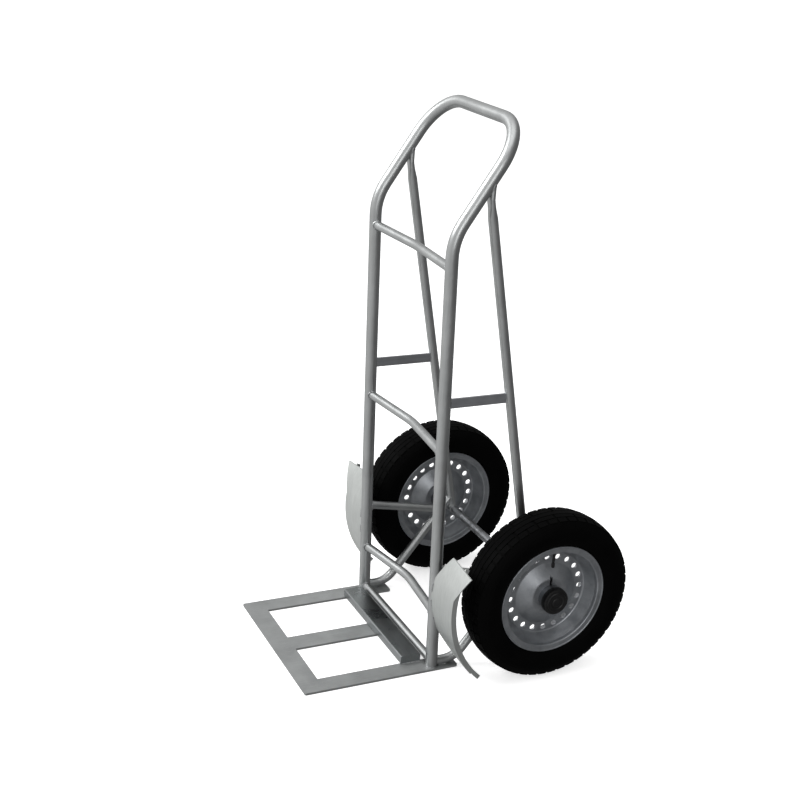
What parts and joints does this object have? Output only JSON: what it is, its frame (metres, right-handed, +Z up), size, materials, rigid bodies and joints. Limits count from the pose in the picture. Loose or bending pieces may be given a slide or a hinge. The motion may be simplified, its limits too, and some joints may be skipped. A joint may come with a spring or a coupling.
{
  "type": "hand truck",
  "caption": "Tall welded tube hand truck with a sloped loop handle, barred toe plate, wheel guards and large air-filled wheels on pressed steel rims.",
  "frame": {"origin": "on the floor, under the middle of the whole truck's length and width", "axes": "+Z up, +X across the truck to its right-hand wheel, -Y forwards over the toe plate"},
  "size_m": [0.672, 0.7509, 1.2595],
  "materials": {
    "zinc_tube": "bright zinc plated tube, satin with soft streaks",
    "zinc_plate": "zinc plated flat bar, satin, scuffed on top",
    "guard_sheet": "zinc plated sheet, semi-matt",
    "brace_bar": "zinc plated flat bar, dull",
    "axle_steel": "turned steel, satin",
    "wheel_sheet": "grey silver lacquer over pressed steel, satin",
    "hub_steel": "turned steel, satin",
    "bearing_steel": "ground steel, polished",
    "tyre_rubber": "black vulcanised rubber, matt",
    "tube_rubber": "black butyl rubber, satin",
    "black_moulding": "black moulded polyethylene, satin"
  },
  "bodies": {
    "frame": {"main_frame": "zinc_tube", "top_crossbar": "zinc_tube", "middle_crossbar": "zinc_tube", "low_crossbar": "zinc_tube", "foot_crossbar": "zinc_tube", "rear_strut_left": "zinc_tube", "rear_strut_right": "zinc_tube", "lower_strut_left": "zinc_tube", "lower_strut_right": "zinc_tube", "axle_strut_left": "zinc_tube", "axle_strut_right": "zinc_tube", "side_brace_left": "brace_bar", "side_brace_right": "brace_bar", "wheel_guard_left": "guard_sheet", "wheel_guard_right": "guard_sheet", "guard_edge_left": "guard_sheet", "guard_edge_right": "guard_sheet", "toe_front_bar": "zinc_plate", "toe_side_bar_left": "zinc_plate", "toe_side_bar_right": "zinc_plate", "toe_centre_bar": "zinc_plate", "toe_box_section": "zinc_plate", "box_end_plates": "zinc_plate", "axle": "axle_steel", "axle_collar_left": "axle_steel", "axle_collar_right": "axle_steel", "axle_washer_left": "axle_steel", "axle_washer_right": "axle_steel", "split_pin_left": "axle_steel", "split_pin_right": "axle_steel"},
    "wheel_left": {"tyre_left": "tyre_rubber", "inner_tube_left": "tube_rubber", "outer_wheel_half_left": "wheel_sheet", "inner_wheel_half_left": "wheel_sheet", "hub_left": "hub_steel", "inner_bearing_left": "bearing_steel", "outer_bearing_left": "bearing_steel", "hub_cap_left": "black_moulding", "valve_stem_left": "tube_rubber", "valve_cap_left": "black_moulding"},
    "wheel_right": {"tyre_right": "tyre_rubber", "inner_tube_right": "tube_rubber", "outer_wheel_half_right": "wheel_sheet", "inner_wheel_half_right": "wheel_sheet", "hub_right": "hub_steel", "inner_bearing_right": "bearing_steel", "outer_bearing_right": "bearing_steel", "hub_cap_right": "black_moulding", "valve_stem_right": "tube_rubber", "valve_cap_right": "black_moulding"}
  },
  "joints": [
    {"name": "wheel_left_spin", "type": "hinge", "parent": "frame", "child": "wheel_left", "pos_m": [-0.275, 0.1755, 0.2], "axis": [1, 0, 0], "continuous": true},
    {"name": "wheel_right_spin", "type": "hinge", "parent": "frame", "child": "wheel_right", "pos_m": [0.275, 0.1755, 0.2], "axis": [1, 0, 0], "continuous": true}
  ]
}
